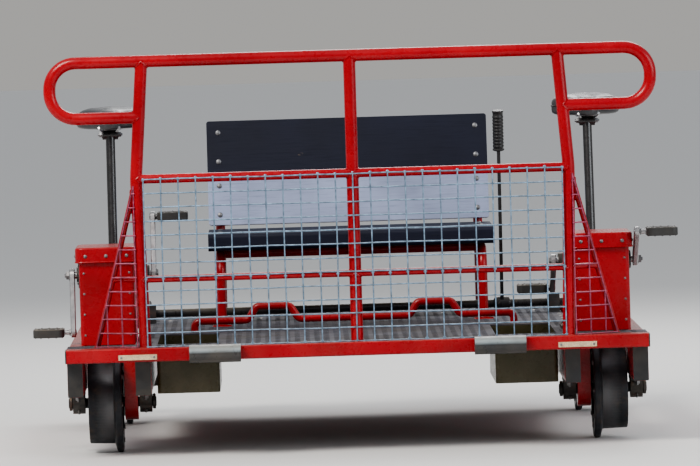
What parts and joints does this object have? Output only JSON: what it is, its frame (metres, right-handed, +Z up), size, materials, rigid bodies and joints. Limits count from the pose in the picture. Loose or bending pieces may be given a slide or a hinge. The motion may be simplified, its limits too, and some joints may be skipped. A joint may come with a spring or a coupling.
{
  "type": "pedal rail bike",
  "caption": "Pedal-driven railway trolley with outer saddles, a passenger bench and a mesh front guard with D-shaped handles.",
  "frame": {"origin": "middle of the plan at the lowest edge of the wheel flanges", "axes": "front faces -Y, the riders' left is +X, +Z is up"},
  "size_m": [1.88, 1.9698, 1.1575],
  "materials": {
    "red_paint": "gloss red paint, chipped and worn",
    "mesh_steel": "galvanised wire, dull",
    "deck_metal": "checker plate, dirty",
    "wheel_iron": "dark, worn bright on the tread",
    "bearing_iron": "dark grey, oily",
    "tray_paint": "dark olive paint, dirty",
    "buffer_rubber": "smooth black rubber",
    "reflector": "pale amber reflective strip",
    "bench_navy": "painted dark blue",
    "bench_grey": "painted pale blue grey",
    "saddle_vinyl": "black vinyl, padded",
    "crank_metal": "satin",
    "pedal_plastic": "black, ribbed",
    "brake_paint": "black paint"
  },
  "bodies": {
    "chassis": {"front_beam": "red_paint", "rear_beam": "red_paint", "cross_bearers": "red_paint", "deck_plate": "deck_metal", "axle_bearings": "bearing_iron", "top_rail": "red_paint", "guard_posts": "red_paint", "mid_rail": "red_paint", "lower_rail": "red_paint", "wing_tubes": "red_paint", "mesh_front": "mesh_steel", "mesh_wings": "mesh_steel", "buffers": "buffer_rubber", "reflectors": "reflector", "bench_frame": "red_paint", "bench_seat": "bench_navy", "bench_back_lower": "bench_grey", "bench_back_upper": "bench_navy", "foot_rest": "red_paint", "brake_bearings": "bearing_iron", "side_beam_left": "red_paint", "side_beam_right": "red_paint", "inner_beam_left": "red_paint", "inner_beam_right": "red_paint", "pedal_tray_left": "tray_paint", "pedal_tray_right": "tray_paint", "chain_case_left": "red_paint", "chain_case_right": "red_paint", "crank_bearings_left": "bearing_iron", "crank_bearings_right": "bearing_iron", "saddle_frame_left": "red_paint", "saddle_frame_right": "red_paint", "saddle_left": "saddle_vinyl", "saddle_right": "saddle_vinyl"},
    "wheel_front_left": {"wheel_front_left": "wheel_iron"},
    "wheel_front_right": {"wheel_front_right": "wheel_iron"},
    "wheel_rear_left": {"wheel_rear_left": "wheel_iron"},
    "wheel_rear_right": {"wheel_rear_right": "wheel_iron"},
    "crank_set_left": {"crank_set_left": "crank_metal"},
    "crank_set_right": {"crank_set_right": "crank_metal"},
    "pedal_outer_left": {"pedal_outer_left": "pedal_plastic"},
    "pedal_outer_right": {"pedal_outer_right": "pedal_plastic"},
    "pedal_inner_left": {"pedal_inner_left": "pedal_plastic"},
    "pedal_inner_right": {"pedal_inner_right": "pedal_plastic"},
    "brake": {"brake_lever": "brake_paint"}
  },
  "joints": [
    {"name": "wheel_front_left_turn", "type": "hinge", "parent": "chassis", "child": "wheel_front_left", "pos_m": [0.7465, -0.575, 0.145], "axis": [1, 0, 0], "continuous": true},
    {"name": "wheel_front_right_turn", "type": "hinge", "parent": "chassis", "child": "wheel_front_right", "pos_m": [-0.7465, -0.575, 0.145], "axis": [1, 0, 0], "continuous": true},
    {"name": "wheel_rear_left_turn", "type": "hinge", "parent": "chassis", "child": "wheel_rear_left", "pos_m": [0.7465, 0.625, 0.145], "axis": [1, 0, 0], "continuous": true},
    {"name": "wheel_rear_right_turn", "type": "hinge", "parent": "chassis", "child": "wheel_rear_right", "pos_m": [-0.7465, 0.625, 0.145], "axis": [1, 0, 0], "continuous": true},
    {"name": "crank_left_turn", "type": "hinge", "parent": "chassis", "child": "crank_set_left", "pos_m": [0.7, -0.505, 0.515], "axis": [1, 0, 0], "continuous": true},
    {"name": "pedal_outer_left_turn", "type": "hinge", "parent": "crank_set_left", "child": "pedal_outer_left", "pos_m": [0.895, -0.65222, 0.6], "axis": [1, 0, 0], "continuous": true},
    {"name": "pedal_inner_left_turn", "type": "hinge", "parent": "crank_set_left", "child": "pedal_inner_left", "pos_m": [0.526, -0.35778, 0.43], "axis": [1, 0, 0], "continuous": true},
    {"name": "crank_right_turn", "type": "hinge", "parent": "chassis", "child": "crank_set_right", "pos_m": [-0.7, -0.505, 0.515], "axis": [1, 0, 0], "continuous": true},
    {"name": "pedal_outer_right_turn", "type": "hinge", "parent": "crank_set_right", "child": "pedal_outer_right", "pos_m": [-0.895, -0.549, 0.35079], "axis": [1, 0, 0], "continuous": true},
    {"name": "pedal_inner_right_turn", "type": "hinge", "parent": "crank_set_right", "child": "pedal_inner_right", "pos_m": [-0.526, -0.461, 0.67921], "axis": [1, 0, 0], "continuous": true},
    {"name": "brake_pull", "type": "hinge", "parent": "chassis", "child": "brake", "pos_m": [0, 0.4, 0.35], "axis": [1, 0, 0], "range_deg": [-9, 0]}
  ],
  "couplings": [
    {"joint": "crank_left_turn", "follows": "wheel_front_left_turn", "ratio": 0.36842},
    {"joint": "crank_right_turn", "follows": "wheel_front_right_turn", "ratio": 0.36842}
  ]
}
